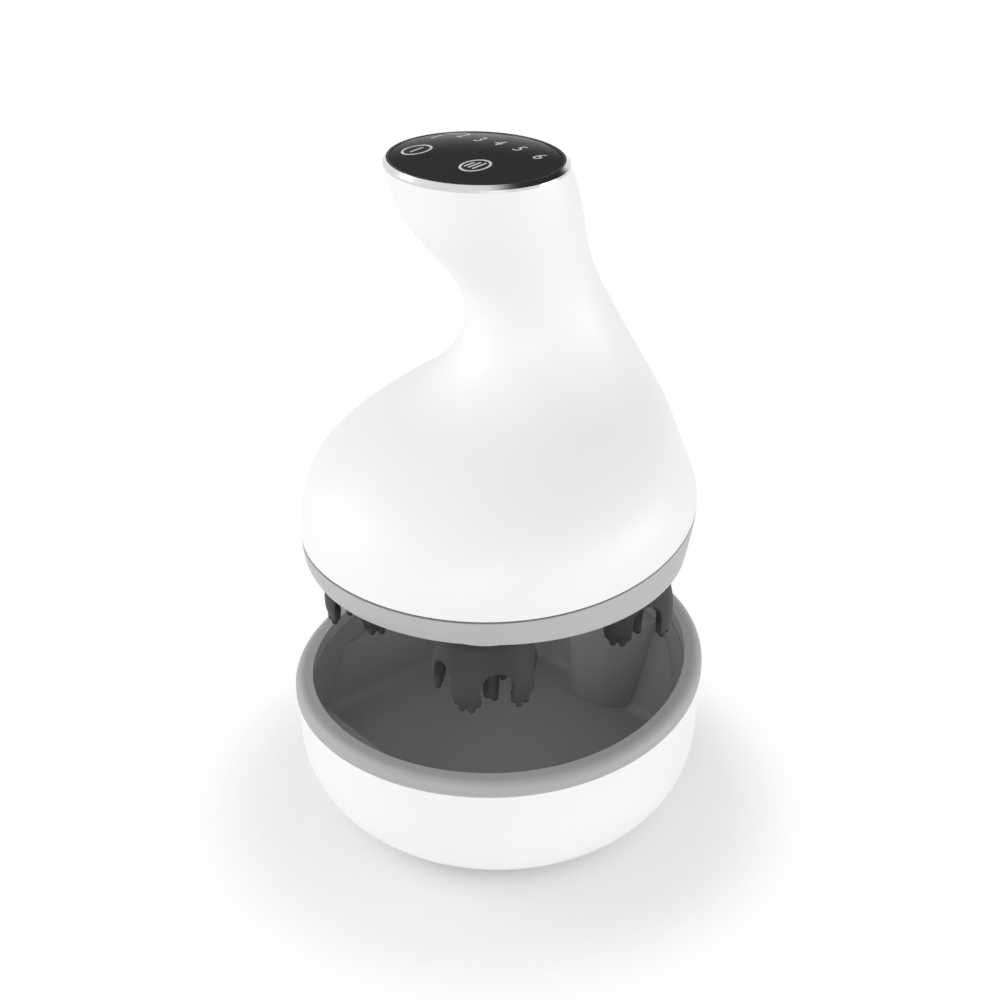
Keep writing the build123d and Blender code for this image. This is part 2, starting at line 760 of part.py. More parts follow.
claws = soft_head()
gap_to_sun = 180 / head_teeth   # turns a gap between two teeth towards the sun gear
head_gear = spur_gear(head_teeth, 180 + gap_to_sun, spindle_r + press_gap,
                      spindle_r + head_gear_hub)
for place, angle in head_angles.items():
    x, y = at_angle(head_circle, angle)
    stand = Location((x, y, 0), (0, 0, angle))
    turned = Location((x, y, 0), (0, 0, angle + head_turn))
    export(claws.moved(turned), f"soft_head_{place}")
    export(head_hub.part.moved(stand), f"head_hub_{place}")
    export(spindle.part.moved(stand), f"spindle_{place}")
    export(head_gear.moved(stand), f"head_gear_{place}")


# -------------------------------------------------------------------------- dock
def dock_form(inset=0.0):
    """Round, slightly flaring form of the dock, drawn in by inset."""
    foot = foot_height + inset
    flare = (dock_r - dock_foot_r) / (dock_side_top - foot_height)
    with BuildPart() as form:
        with BuildSketch(Plane.XZ) as profile:
            with BuildLine():
                Polyline((0, foot), (dock_foot_r - inset + flare * inset, foot),
                         (dock_r - inset, dock_side_top), (dock_r - inset, reach), (0, reach),
                         close=True)
            make_face()
            fillet(profile.vertices().group_by(Axis.Y)[0].sort_by(Axis.X)[-1], dock_corner - inset)
        revolve(axis=Axis.Z)
    return form.part


over_split = block_over(split_edge)
inlet_plane = Plane(origin=(0, 0, inlet_z), x_dir=(1, 0, 0), z_dir=(0, 1, 0))
inlet_back = dock_r - inlet_sink - inlet_length
bowl_wall = dock_wall + seat_gap

with BuildPart() as dock_shell:
    add(dock_form())
    add(over_split, mode=Mode.SUBTRACT)
    add(dock_form(dock_wall), mode=Mode.SUBTRACT)
    with BuildSketch(Plane.XY.offset(plate_foot)):
        Circle(plate_r + seat_gap)
    extrude(amount=dock_wall, mode=Mode.SUBTRACT)
    with BuildSketch(inlet_plane.offset(dock_board_r)):
        SlotOverall(inlet_width + 2 * press_gap, inlet_height + 2 * press_gap)
    extrude(amount=reach, mode=Mode.SUBTRACT)
export(dock_shell.part, "dock_shell")

with BuildPart() as dock_rim:
    with BuildSketch():
        Circle(dock_r)
        Circle(rim_inner_r, mode=Mode.SUBTRACT)
    extrude(amount=reach)
    add(over_split, mode=Mode.INTERSECT)
    add(block_over(split_edge, rim_height), mode=Mode.SUBTRACT)
    top_edges = dock_rim.faces().sort_by(Axis.Z)[-1].edges()
    fillet(top_edges.sort_by(SortBy.LENGTH)[-1], rim_round)
export(dock_rim.part, "dock_rim")

# The bowl is nearly square about the heads at its floor and widens towards the rim,
# under a ledge that slants as the rim does.
mouth_middle = (mouth_back_room - mouth_front_room) / 2
with BuildPart() as bowl:
    with BuildSketch(Plane.XY.offset(bowl_floor)):
        RectangleRounded(2 * (head_offset + side_room), 2 * (head_offset + front_room), floor_round)
    with BuildSketch(Plane(origin=(0, mouth_middle, mouth_height))):
        RectangleRounded(2 * (head_offset + mouth_side_room),
                         2 * head_offset + mouth_front_room + mouth_back_room, mouth_round)
    loft()
    fillet(bowl.faces().sort_by(Axis.Z)[0].edges(), bowl_corner)
    add(dock_form(bowl_wall + bowl_side_wall), mode=Mode.INTERSECT)
    with BuildSketch():
        Circle(rim_inner_r - mouth_gap)
    extrude(amount=reach, mode=Mode.INTERSECT)
    with BuildSketch():
        with Locations((0, bulge_y)):
            Circle(bulge_r)
    extrude(amount=bulge_top, mode=Mode.SUBTRACT)

with BuildPart() as bowl_mouth:
    with BuildSketch():
        Circle(rim_inner_r - mouth_gap)
    extrude(amount=reach)
    add(block_over(ledge_edge), mode=Mode.INTERSECT)
    with BuildSketch():
        with Locations((0, bulge_y)):
            Circle(bulge_r)
    extrude(amount=bulge_top, mode=Mode.SUBTRACT)

dock_screw_places = [at_angle(dock_screw_circle, angle) for angle in right_angles]
with BuildPart() as dock_liner:
    add(dock_form(bowl_wall))
    add(over_split, mode=Mode.SUBTRACT)
    with BuildSketch():
        Circle(2 * reach)
    extrude(amount=bowl_floor - bowl_skin, mode=Mode.SUBTRACT)
    with BuildSketch(Plane.XY.offset(plate_top)):
        with Locations(*dock_screw_places):
            Circle(dock_boss_r)
    extrude(amount=bowl_floor - plate_top)
    with BuildSketch(Plane.XY.offset(plate_top)):
        with Locations(*dock_screw_places):
            Circle(small_screw_r + press_gap)
    extrude(amount=small_grip + bore_end, mode=Mode.SUBTRACT)
    add(bowl.part, mode=Mode.SUBTRACT)
    add(bowl_mouth.part, mode=Mode.SUBTRACT)
    with BuildSketch(Plane.XY.offset(bulge_top)):
        with Locations(*pad_places):
            Circle(pin_r + press_gap)
    extrude(amount=pin_top - bulge_top - pin_length, mode=Mode.SUBTRACT)
    with BuildSketch(inlet_plane.offset(inlet_back)):
        SlotOverall(inlet_width + 2 * press_gap, inlet_height + 2 * press_gap)
    extrude(amount=reach, mode=Mode.SUBTRACT)
export(dock_liner.part, "dock_liner")

with BuildPart() as dock_pins:
    with BuildSketch(Plane.XY.offset(pin_top - pin_length)):
        with Locations(*pad_places):
            Circle(pin_r)
    extrude(amount=pin_length)
    fillet(dock_pins.edges().group_by(Axis.Z)[-1], pin_r / 2)
export(dock_pins.part, "dock_pins")

foot_places = [at_angle(foot_pad_circle, angle + 45) for angle in right_angles]
standoffs = [at_angle(dock_post_circle, angle + 45) for angle in right_angles]
with BuildPart() as dock_base_plate:
    with BuildSketch(Plane.XY.offset(plate_foot)):
        Circle(plate_r)
        with Locations(*dock_screw_places):
            Circle(small_screw_r + screw_gap, mode=Mode.SUBTRACT)
    extrude(amount=plate_height)
    with BuildSketch(Plane.XY.offset(plate_foot)):
        with Locations(*foot_places):
            Circle(foot_pad_r + screw_gap)
    extrude(amount=foot_pad_sink, mode=Mode.SUBTRACT)
    with BuildSketch(Plane.XY.offset(plate_foot)):
        with Locations(*dock_screw_places):
            Circle(small_head_r + screw_gap)
    extrude(amount=plate_height - plate_skin, mode=Mode.SUBTRACT)
    with BuildSketch(Plane.XY.offset(plate_top)):
        with Locations(*standoffs):
            Circle(dock_post_r)
    extrude(amount=dock_board_z - plate_top)
export(dock_base_plate.part, "dock_base_plate")

with BuildPart() as dock_feet:
    with BuildSketch():
        with Locations(*foot_places):
            Circle(foot_pad_r)
    extrude(amount=plate_foot + foot_pad_sink)
    fillet(dock_feet.edges().group_by(Axis.Z)[0], foot_round)
export(dock_feet.part, "dock_feet")

dock_seat = plate_top - plate_skin
with BuildPart() as dock_screws:
    with BuildSketch(Plane.XY.offset(dock_seat)):
        with Locations(*dock_screw_places):
            Circle(small_head_r)
    extrude(amount=-dock_head)
    with BuildSketch(Plane.XY.offset(dock_seat)):
        with Locations(*dock_screw_places):
            Circle(small_screw_r)
    extrude(amount=plate_skin + small_grip)
    with BuildSketch(Plane.XY.offset(dock_seat - dock_head)):
        cross_recess(dock_screw_places)
    extrude(amount=recess_depth, mode=Mode.SUBTRACT)
export(dock_screws.part, "dock_screws")

with BuildPart() as dock_board:
    with BuildSketch(Plane.XY.offset(dock_board_z)):
        Circle(dock_board_r)
    extrude(amount=board_height)
    with BuildSketch(Plane.XY.offset(dock_board_z + board_height)):
        with Locations((dock_coil_x, 0)):
            Rectangle(dock_coil, dock_coil)
        with Locations(dock_cap_at):
            Rectangle(*dock_cap)
    extrude(amount=dock_chip)
export(dock_board.part, "dock_board")

with BuildPart() as dock_inlet:
    with BuildSketch(inlet_plane.offset(inlet_back)):
        SlotOverall(inlet_width, inlet_height)
    extrude(amount=inlet_length)
    with BuildSketch(inlet_plane.offset(inlet_back + inlet_floor)):
        SlotOverall(inlet_width - 2 * inlet_wall, inlet_height - 2 * inlet_wall)
    extrude(amount=inlet_length, mode=Mode.SUBTRACT)
    with BuildSketch(inlet_plane.offset(inlet_back + inlet_floor)):
        Rectangle(inlet_width - 6 * inlet_wall, 2 * inlet_wall)
    extrude(amount=inlet_tongue)
export(dock_inlet.part, "dock_inlet")
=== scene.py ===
from math import atan2, cos, pi, radians, sin

import bmesh
import bpy
from mathutils import Matrix, Vector
from mathutils.bvhtree import BVHTree


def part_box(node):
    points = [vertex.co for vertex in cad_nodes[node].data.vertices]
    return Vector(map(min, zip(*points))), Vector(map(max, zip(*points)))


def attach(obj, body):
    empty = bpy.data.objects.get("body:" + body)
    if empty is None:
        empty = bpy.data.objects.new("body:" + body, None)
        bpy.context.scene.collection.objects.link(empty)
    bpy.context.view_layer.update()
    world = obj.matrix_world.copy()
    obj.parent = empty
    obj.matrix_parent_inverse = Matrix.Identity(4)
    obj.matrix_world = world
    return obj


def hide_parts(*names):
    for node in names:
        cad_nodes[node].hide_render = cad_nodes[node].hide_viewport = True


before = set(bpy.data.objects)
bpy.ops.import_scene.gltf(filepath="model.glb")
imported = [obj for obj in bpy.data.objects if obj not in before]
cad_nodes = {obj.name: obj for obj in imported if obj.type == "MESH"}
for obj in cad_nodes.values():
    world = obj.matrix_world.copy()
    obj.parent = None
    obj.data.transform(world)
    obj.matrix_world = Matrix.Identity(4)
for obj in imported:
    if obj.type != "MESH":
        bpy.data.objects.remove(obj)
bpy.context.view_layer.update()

# ------------------------------------------------------------------- dock shell
# The outside of the charging dock: one white ABS moulding, satin, with the fine
# spark-eroded skin of its mould.  It is held between the liner and the base plate.
mm = 0.001


def grey(level, warmth=0.0):
    """Linear colour of a neutral or slightly warm screen grey, 0 to 255."""
    tint = (level + warmth, level, level - warmth)
    return tuple((max(part, 0) / 255) ** 2.2 for part in tint) + (1.0,)


def moulded(name, dark, pale, gloss, grain=0.35, relief=0.04):
    """Moulded plastic or plain metal.  The colour clouds between two tones over
    some 30 mm, and gloss is the lowest and the highest roughness.  The skin has
    a fine grain, grain millimetres across."""
    cloud_scale = 30.0
    finish = bpy.data.materials.new(name)
    finish.use_nodes = True
    nodes, links = finish.node_tree.nodes, finish.node_tree.links
    skin = nodes["Principled BSDF"]
    place = nodes.new("ShaderNodeTexCoord").outputs["Object"]
    cloud = nodes.new("ShaderNodeTexNoise")
    cloud.inputs["Scale"].default_value = cloud_scale
    cloud.inputs["Detail"].default_value = 4.0
    tones = nodes.new("ShaderNodeMix")
    tones.data_type = "RGBA"
    tones.inputs["A"].default_value = dark
    tones.inputs["B"].default_value = pale
    sheen = nodes.new("ShaderNodeMapRange")
    sheen.inputs["To Min"].default_value, sheen.inputs["To Max"].default_value = gloss
    spark = nodes.new("ShaderNodeTexNoise")
    spark.inputs["Scale"].default_value = 1 / (grain * mm)
    spark.inputs["Detail"].default_value = 3.0
    bump = nodes.new("ShaderNodeBump")
    bump.inputs["Strength"].default_value = relief
    bump.inputs["Distance"].default_value = grain * mm
    links.new(place, cloud.inputs["Vector"])
    links.new(place, spark.inputs["Vector"])
    links.new(cloud.outputs["Fac"], tones.inputs["Factor"])
    links.new(tones.outputs["Result"], skin.inputs["Base Color"])
    links.new(cloud.outputs["Fac"], sheen.inputs["Value"])
    links.new(sheen.outputs["Result"], skin.inputs["Roughness"])
    links.new(spark.outputs["Fac"], bump.inputs["Height"])
    links.new(bump.outputs["Normal"], skin.inputs["Normal"])
    return finish


def skin_of(finish):
    """The sockets of a finish's own shader."""
    return finish.node_tree.nodes["Principled BSDF"].inputs


def dress(finish, *names):
    """Gives CAD nodes a finish in place of the one that they came with."""
    for name in names:
        mesh = cad_nodes[name].data
        mesh.materials.clear()
        mesh.materials.append(finish)


white_shell = moulded("white_shell", grey(243), grey(247), (0.36, 0.44))
skin_of(white_shell)["Specular IOR Level"].default_value = 0.4
dress(white_shell, "dock_shell")

# --------------------------------------------------------------------- dock rim
# A separate light grey ABS ring that caps the edges of the shell and the liner.  Its
# slanting top is satin and runs into a rounded outer edge.
rim_grey = moulded("rim_grey", grey(168), grey(174), (0.45, 0.55), relief=0.06)
dress(rim_grey, "dock_rim")

# ------------------------------------------------------------------- dock liner
# The bowl that takes the four claw heads, moulded in dark grey ABS with a matt
# skin, so that oil and hair show less.  The base plate's screws go into bosses
# under it.
liner_grey = moulded("liner_grey", grey(146), grey(154), (0.5, 0.62), relief=0.08)
dress(liner_grey, "dock_liner")

# ------------------------------------------------------- charging pins and pads
# Gold-plated brass, turned and brushed by use: two sprung pins in the dock, and
# the two flat pads under the massager that come down on them.
gold = moulded("contact_gold", grey(215, 28), grey(232, 26), (0.2, 0.34), grain=0.1)
skin_of(gold)["Metallic"].default_value = 1.0
dress(gold, "dock_pins", "charge_pads")

# --------------------------------------------- base plate, feet, screws, inlet
# A white plate closes the dock from below with four plated screws and stands on
# four dark rubber feet.  The charging lead's inlet is a stamped steel socket.
rubber = moulded("dark_rubber", grey(46), grey(58), (0.7, 0.85), grain=0.2, relief=0.15)
steel = moulded("plated_steel", grey(188), grey(205), (0.22, 0.36), grain=0.08)
skin_of(steel)["Metallic"].default_value = 1.0
dress(white_shell, "dock_base_plate")
dress(rubber, "dock_feet")
dress(steel, "dock_screws", "dock_inlet")

# --------------------------------------------------------------- circuit boards
# Glass-fibre boards with green solder mask: one in the dock, one over the gears
# and one that feels the keys under the panel.
mask_dark, mask_pale = (0.012, 0.07, 0.03, 1), (0.02, 0.1, 0.045, 1)
board_green = moulded("board_green", mask_dark, mask_pale, (0.3, 0.4))
dress(board_green, "dock_board", "main_board", "touch_board")

# -------------------------------------------------------- drive, cell and seals
# What the housing hides: acetal gears on steel spindles in bronze bushes, the
# motor, the sleeved cell in its holder, and rubber seals round the spindles and
# under the glass.
heads = ("front_right", "back_right", "back_left", "front_left")
wrap_dark, wrap_pale = (0.02, 0.09, 0.3, 1), (0.03, 0.12, 0.36, 1)
bronze_dark, bronze_pale = (0.32, 0.16, 0.06, 1), (0.42, 0.22, 0.09, 1)
gear_white = moulded("gear_acetal", grey(222, 3), grey(230, 3), (0.4, 0.5))
inner_grey = moulded("inner_plastic", grey(120), grey(132), (0.45, 0.6))
wrap_blue = moulded("cell_wrap", wrap_dark, wrap_pale, (0.25, 0.35))
bronze = moulded("sintered_bronze", bronze_dark, bronze_pale, (0.4, 0.55))
skin_of(bronze)["Metallic"].default_value = 1.0
dress(gear_white, "sun_gear", *[f"head_gear_{place}" for place in heads])
dress(inner_grey, "gear_cover", "battery_holder", *[f"head_hub_{place}" for place in heads])
dress(wrap_blue, "battery_cell")
dress(bronze, "spindle_bushes")
dress(steel, "gear_motor", "motor_screws", "cover_screws", "chassis_screws")
dress(steel, "drive_shaft", *[f"spindle_{place}" for place in heads])
dress(rubber, "spindle_seals", "panel_gasket")

# --------------------------------------------------- housing, chassis and seam
# The gourd-shaped housing is one white moulding.  It closes on the light grey
# chassis, which carries the heads, with a thin dark rubber seal between them.
chassis_grey = moulded("chassis_grey", grey(179), grey(185), (0.42, 0.52), relief=0.05)
seal_grey = moulded("seal_grey", grey(112), grey(120), (0.6, 0.75), relief=0.05)
dress(white_shell, "main_housing")
dress(chassis_grey, "lower_chassis")
dress(seal_grey, "housing_seal")

# ------------------------------------------------------ bezel, glass and lights
# A chromed ring on the housing's slanting top frames a black cover glass with a
# low dome, which is bonded to its gasket.  The lights under it have green lenses.
chrome = moulded("chrome", grey(208), grey(218), (0.15, 0.2), grain=0.6, relief=0.01)
skin_of(chrome)["Metallic"].default_value = 1.0
dress(chrome, "panel_bezel")
# The glass's dark grey colour is painted reflection of the white surround, and its own gloss is
# turned down.
black_glass_painted_reflection = moulded("black_glass_painted_reflection", grey(54), grey(60), (0.07, 0.12), grain=2.0, relief=0.004)
skin_of(black_glass_painted_reflection)["Specular IOR Level"].default_value = 0.14
dress(black_glass_painted_reflection, "panel_glass")
# The lenses' green also colours the painted glow laid over the glass.
lens_and_glow_dark, lens_and_glow_pale = (0.06, 0.17, 0.06, 1), (0.09, 0.24, 0.09, 1)
led_green = moulded("led_green", lens_and_glow_dark, lens_and_glow_pale, (0.3, 0.4))
dress(led_green, "indicator_leds")

# --------------------------------------------------------------- panel markings
# Two touch keys and the figures 1 to 6 for the running programme are screen prints;
# a green patch over the glass is painted light, where the light under it shines
# through.  They follow the glass's dome, a hundredth of a millimetre over it, so that
# the dark glass doesn't hide them.  Places are millimetres on the panel, from its middle.
stroke = 0.62
key_r = 3.7
power_place, mode_place = (-15.0, -4.7), (6.7, -5.0)
power_bar = 3.9
bar_places, bar_heights, bar_foot = (4.95, 6.3, 7.75), (3.0, 3.8, 4.1), -6.8
figure_places = ((-20.0, 4.8), (-14.7, 8.8), (-8.0, 8.5), (-1.6, 8.8), (5.6, 8.7), (13.6, 7.5))
figure_size = 5.0
light_place, light_r, light_stretch = (1.3, 14.5), 0.4, 2.8
print_depth, print_rise = 0.04, 0.01
end_steps, ring_steps, light_steps = 8, 72, 24

panel_middle = Vector((0, -6.7, 174.1)) * mm
panel_turn = Matrix.Rotation(radians(7.0), 4, "X")
over_panel = 10.0       # height that a marking is dropped from on to the glass
glass = cad_nodes["panel_glass"].data
glass_surface = BVHTree.FromPolygons([vert.co for vert in glass.vertices],
                                     [tuple(face.vertices) for face in glass.polygons])


def bar(marking, centre, height):
    """A flat bar of one stroke's width with round ends, upright on the panel."""
    end = stroke / 2
    half = height / 2 - end
    corners = [Vector((centre[0] + end * cos(a), centre[1] + end * sin(a) + side * half, 0))
               for side, start in ((1, 0.0), (-1, pi))
               for a in [start + pi * step / end_steps for step in range(end_steps + 1)]]
    marking.faces.new([marking.verts.new(corner) for corner in corners])


def ring(marking, centre):
    """A flat ring of one stroke's width, the edge of a touch key."""
    made = bmesh.ops.create_circle(marking, cap_ends=True, radius=key_r, segments=ring_steps,
                                   matrix=Matrix.Translation((*centre, 0)))
    disc = list({face for vert in made["verts"] for face in vert.link_faces})
    bmesh.ops.inset_region(marking, faces=disc, thickness=stroke, use_boundary=True,
                           use_even_offset=True)
    bmesh.ops.delete(marking, geom=disc, context="FACES")


def mesh_of(shape, name):
    """The mesh of a bmesh, which is freed."""
    mesh = bpy.data.meshes.new(name)
    shape.to_mesh(mesh)
    shape.free()
    return mesh


def new_piece(mesh, name):
    """A piece at the origin, unturned, that shows a mesh."""
    piece = bpy.data.objects.new(name, mesh)
    bpy.context.scene.collection.objects.link(piece)
    return piece


def lay_on_glass(marking, name, finish):
    """Drops a flat marking on to the glass, square to the panel, and gives it the
    thickness of its ink."""
    bmesh.ops.triangulate(marking, faces=marking.faces)
    bmesh.ops.subdivide_edges(marking, edges=marking.edges, cuts=1)
    down = -(panel_turn @ Vector((0, 0, 1)))
    for vert in marking.verts:
        flat = Vector((vert.co.x, vert.co.y, over_panel)) * mm
        hit = glass_surface.ray_cast(panel_middle + panel_turn @ flat, down)[0]
        vert.co = hit - down * print_rise * mm
    bmesh.ops.recalc_face_normals(marking, faces=marking.faces)
    if sum(face.normal.z for face in marking.faces) < 0:
        bmesh.ops.reverse_faces(marking, faces=marking.faces)
    bmesh.ops.solidify(marking, geom=marking.faces, thickness=print_depth * mm)
    piece = new_piece(mesh_of(marking, name), name)
    piece.data.materials.append(finish)
    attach(piece, "massager")
    return piece


print_white = moulded("print_white", grey(222), grey(232), (0.25, 0.35), grain=0.2)

power_key = bmesh.new()
ring(power_key, power_place)
bar(power_key, power_place, power_bar)
lay_on_glass(power_key, "power_key", print_white)

mode_key = bmesh.new()
ring(mode_key, mode_place)
for bar_place, height in zip(bar_places, bar_heights):
    bar(mode_key, (bar_place, bar_foot + height / 2), height)
lay_on_glass(mode_key, "mode_key", print_white)

figures = bmesh.new()
for number, spot in enumerate(figure_places, start=1):
    text = bpy.data.curves.new("figure", "FONT")
    text.body = str(number)
    text.size = figure_size
    text.align_x, text.align_y = "CENTER", "CENTER"
    letter = bpy.data.objects.new("figure", text)
    mesh = bpy.data.meshes.new_from_object(letter)
    mesh.transform(Matrix.Translation((*spot, 0)))
    figures.from_mesh(mesh)
    bpy.data.objects.remove(letter)
    bpy.data.curves.remove(text)
    bpy.data.meshes.remove(mesh)
lay_on_glass(figures, "panel_figures", print_white)

# A green patch of painted light on the glass, where the lit light under it shines through.
light = bmesh.new()
bmesh.ops.create_circle(light, cap_ends=True, radius=light_r, segments=light_steps)
bmesh.ops.scale(light, vec=(light_stretch, 1.0, 1.0), verts=light.verts)
bmesh.ops.translate(light, vec=(*light_place, 0), verts=light.verts)
painted_panel_light = lay_on_glass(light, "painted_panel_light", led_green)

# ------------------------------------------------------------------- claw heads
# Four bells of charcoal silicone, each moulded over its hub.  Slots part a bell
# into five springy claws round three inner fingers, and all of them end in small
# round nubs that go through the hair.  Millimetres, round the head's own axis.
first_claw = {"front_right": -62.5, "back_right": -51.5, "back_left": -45.0,
              "front_left": -32.0}      # degrees from the X axis, at rest
head_low, head_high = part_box("soft_head_front_right")
tip, top = round(head_low.z / mm, 2), round(head_high.z / mm, 2)
roof = 66.0             # underside of the bell's roof, where the fingers stand
foot = tip + 1.6        # lower edge of the bell, over the tips of the nubs
claw_count, finger_count = 5, 3
bell_steps = 80


def finished(piece):
    """The mesh of a piece with its modifiers applied."""
    depsgraph = bpy.context.evaluated_depsgraph_get()
    return bpy.data.meshes.new_from_object(piece.evaluated_get(depsgraph))


# The bell is spun from its section, which goes down the outside and up inside, and
# is fluted: it draws in a little over each slot, from below its shoulder.
flute = 0.035           # share of the radius
flute_from, flute_over = 1.5, 6.0
section = ((0, top), (8.4, top), (9.6, top - 0.5), (10.8, top - 2.6), (11.8, top - 5.6),
           (12.7, top - 9.0), (13.1, top - 12.2), (13.0, top - 15.2), (12.4, foot + 0.4),
           (11.9, foot - 0.4), (10.9, foot - 0.4), (10.2, foot + 0.6), (10.2, foot + 6.0),
           (9.2, foot + 8.8), (7.4, roof - 0.7), (5.0, roof), (0, roof))
bell = bmesh.new()
points = [bell.verts.new((r, 0, z)) for r, z in section]
lines = [bell.edges.new(pair) for pair in zip(points, points[1:])]
bmesh.ops.spin(bell, geom=points + lines, axis=(0, 0, 1), cent=(0, 0, 0), angle=2 * pi,
               steps=bell_steps, use_merge=True)
bmesh.ops.remove_doubles(bell, verts=bell.verts, dist=0.001)
for vert in bell.verts:
    over_slot = cos(claw_count * (atan2(vert.co.y, vert.co.x) - pi / claw_count))
    below = min(max((top - flute_from - vert.co.z) / flute_over, 0), 1)
    vert.co.xy *= 1 - flute * below * (1 + over_slot) / 2
bmesh.ops.recalc_face_normals(bell, faces=bell.faces)
bell_piece = new_piece(mesh_of(bell, "claw_bell"), "claw_bell")

# A slot is an arch that widens towards its foot, cut from inside the bell outwards.
slot_top, slot_half, slot_foot = tip + 11.0, 4.0, 5.0
slot_start, slot_length = 3.0, 20.0
arch_steps = 16
slots = bmesh.new()
for claw in range(claw_count):
    turn = Matrix.Rotation(2 * pi * (claw + 0.5) / claw_count, 4, "Z")
    arch = [(slot_half * cos(a), slot_top - slot_half + slot_half * sin(a))
            for a in [pi * step / arch_steps for step in range(arch_steps + 1)]]
    side = [(slot_foot, tip - 4.0), (slot_foot, tip + 1.2), (slot_foot - 0.9, tip + 3.4)]
    edge = side + arch + [(-y, z) for y, z in reversed(side)]
    face = slots.faces.new([slots.verts.new(turn @ Vector((slot_start, y, z))) for y, z in edge])
    grown = bmesh.ops.extrude_face_region(slots, geom=[face])["geom"]
    moved = [item for item in grown if isinstance(item, bmesh.types.BMVert)]
    bmesh.ops.translate(slots, vec=turn @ Vector((slot_length, 0, 0)), verts=moved)
bmesh.ops.recalc_face_normals(slots, faces=slots.faces)
slot_piece = new_piece(mesh_of(slots, "claw_slots"), "claw_slots")
cut = bell_piece.modifiers.new("slots", "BOOLEAN")
cut.operation, cut.solver, cut.object = "DIFFERENCE", "EXACT", slot_piece
shape = bmesh.new()
shape.from_mesh(finished(bell_piece))

# Four nubs on each claw, at the angles and heights of its rounded foot, and two
# under each finger.  A nub is a ball on a short stem that is sunk in its claw.
nub_r, nub_stem = 0.95, 2.4
nub_circle = 11.6
nub_places = ((1.25, 0.0), (2.7, 1.8))      # aside from the claw's middle, and up
finger_circle, finger_turn = 5.8, radians(35)
finger_foot_r, finger_root_r = 1.9, 2.6
finger_root = roof + 1.0
finger_nub_half, finger_nub_rise = 1.05, 0.2


def nub(stand):
    """A round-ended peg that grows out of a claw."""
    bmesh.ops.create_uvsphere(shape, u_segments=16, v_segments=10, radius=nub_r,
                              matrix=Matrix.Translation(stand))
    stem_middle = stand + Vector((0, 0, nub_stem / 2))
    bmesh.ops.create_cone(shape, cap_ends=True, segments=16, radius1=nub_r, radius2=nub_r,
                          depth=nub_stem, matrix=Matrix.Translation(stem_middle))


for claw in range(claw_count):
    for spread, rise in nub_places:
        for hand in (-1, 1):
            turn = 2 * pi * claw / claw_count + hand * spread / nub_circle
            nub(Vector((nub_circle * cos(turn), nub_circle * sin(turn), tip + rise + nub_r)))
for finger in range(finger_count):
    turn = 2 * pi * finger / finger_count + finger_turn
    stand = Vector((finger_circle * cos(turn), finger_circle * sin(turn), (foot + finger_root) / 2))
    bmesh.ops.create_cone(shape, cap_ends=True, segments=20, radius1=finger_foot_r,
                          radius2=finger_root_r, depth=finger_root - foot,
                          matrix=Matrix.Translation(stand))
    for hand in (-1, 1):
        aside = Vector((cos(turn + pi / 4), sin(turn + pi / 4), 0)) * hand * finger_nub_half
        nub(Vector((stand.x, stand.y, tip + nub_r + finger_nub_rise)) + aside)

# Bell, fingers and nubs melt into one soft skin, which is eased round its corners.
voxel = 0.25
ease_passes, ease = 3, 0.5
bell_piece.modifiers.clear()
bell_piece.data = mesh_of(shape, "claw_shape")
melt = bell_piece.modifiers.new("melt", "REMESH")
melt.mode, melt.voxel_size, melt.use_smooth_shade = "VOXEL", voxel, True
soft = bmesh.new()
soft.from_mesh(finished(bell_piece))
for _ in range(ease_passes):
    bmesh.ops.smooth_vert(soft, verts=soft.verts, factor=ease, use_axis_x=True,
                          use_axis_y=True, use_axis_z=True)
soft_claws = mesh_of(soft, "soft_claws")
bpy.data.objects.remove(bell_piece)
bpy.data.objects.remove(slot_piece)

silicone = moulded("claw_silicone", grey(50), grey(58), (0.55, 0.7), grain=0.25, relief=0.12)
skin_of(silicone)["Specular IOR Level"].default_value = 0.35
skin_of(silicone)["Sheen Weight"].default_value = 0.08
skin_of(silicone)["Sheen Roughness"].default_value = 0.4
soft_claws.materials.append(silicone)
for face in soft_claws.polygons:
    face.use_smooth = True
for place in heads:
    hub_low, hub_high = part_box(f"head_hub_{place}")
    axis = (hub_low + hub_high) / 2
    axis.z = 0
    mesh = soft_claws.copy()
    mesh.transform(Matrix.Rotation(radians(first_claw[place]), 4, "Z"))
    mesh.transform(Matrix.Translation(axis) @ Matrix.Scale(mm, 4))
    piece = new_piece(mesh, f"claws_{place}")
    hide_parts(f"soft_head_{place}")
    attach(piece, f"head_{place}")


# ------------------------------------------------------------------------ floor
# A pale floor that keeps the shadow and fades into the white surround.
def fading(name, level, roughness, specular, near, far):
    """A plain paint that thins out to nothing between two distances from the
    middle of what it is on."""
    finish = bpy.data.materials.new(name)
    finish.use_nodes = True
    nodes, links = finish.node_tree.nodes, finish.node_tree.links
    paint = nodes["Principled BSDF"]
    paint.inputs["Base Color"].default_value = (level, level, level, 1)
    paint.inputs["Roughness"].default_value = roughness
    paint.inputs["Specular IOR Level"].default_value = specular
    reach = nodes.new("ShaderNodeVectorMath")
    reach.operation = "LENGTH"
    fade = nodes.new("ShaderNodeMapRange")
    fade.interpolation_type = "SMOOTHSTEP"
    fade.inputs["From Min"].default_value = near
    fade.inputs["From Max"].default_value = far
    clear = nodes.new("ShaderNodeBsdfTransparent")
    blend = nodes.new("ShaderNodeMixShader")
    links.new(nodes.new("ShaderNodeTexCoord").outputs["Object"], reach.inputs[0])
    links.new(reach.outputs["Value"], fade.inputs["Value"])
    links.new(fade.outputs["Result"], blend.inputs["Fac"])
    links.new(paint.outputs["BSDF"], blend.inputs[1])
    links.new(clear.outputs["BSDF"], blend.inputs[2])
    links.new(blend.outputs["Shader"], nodes["Material Output"].inputs["Surface"])
    return finish


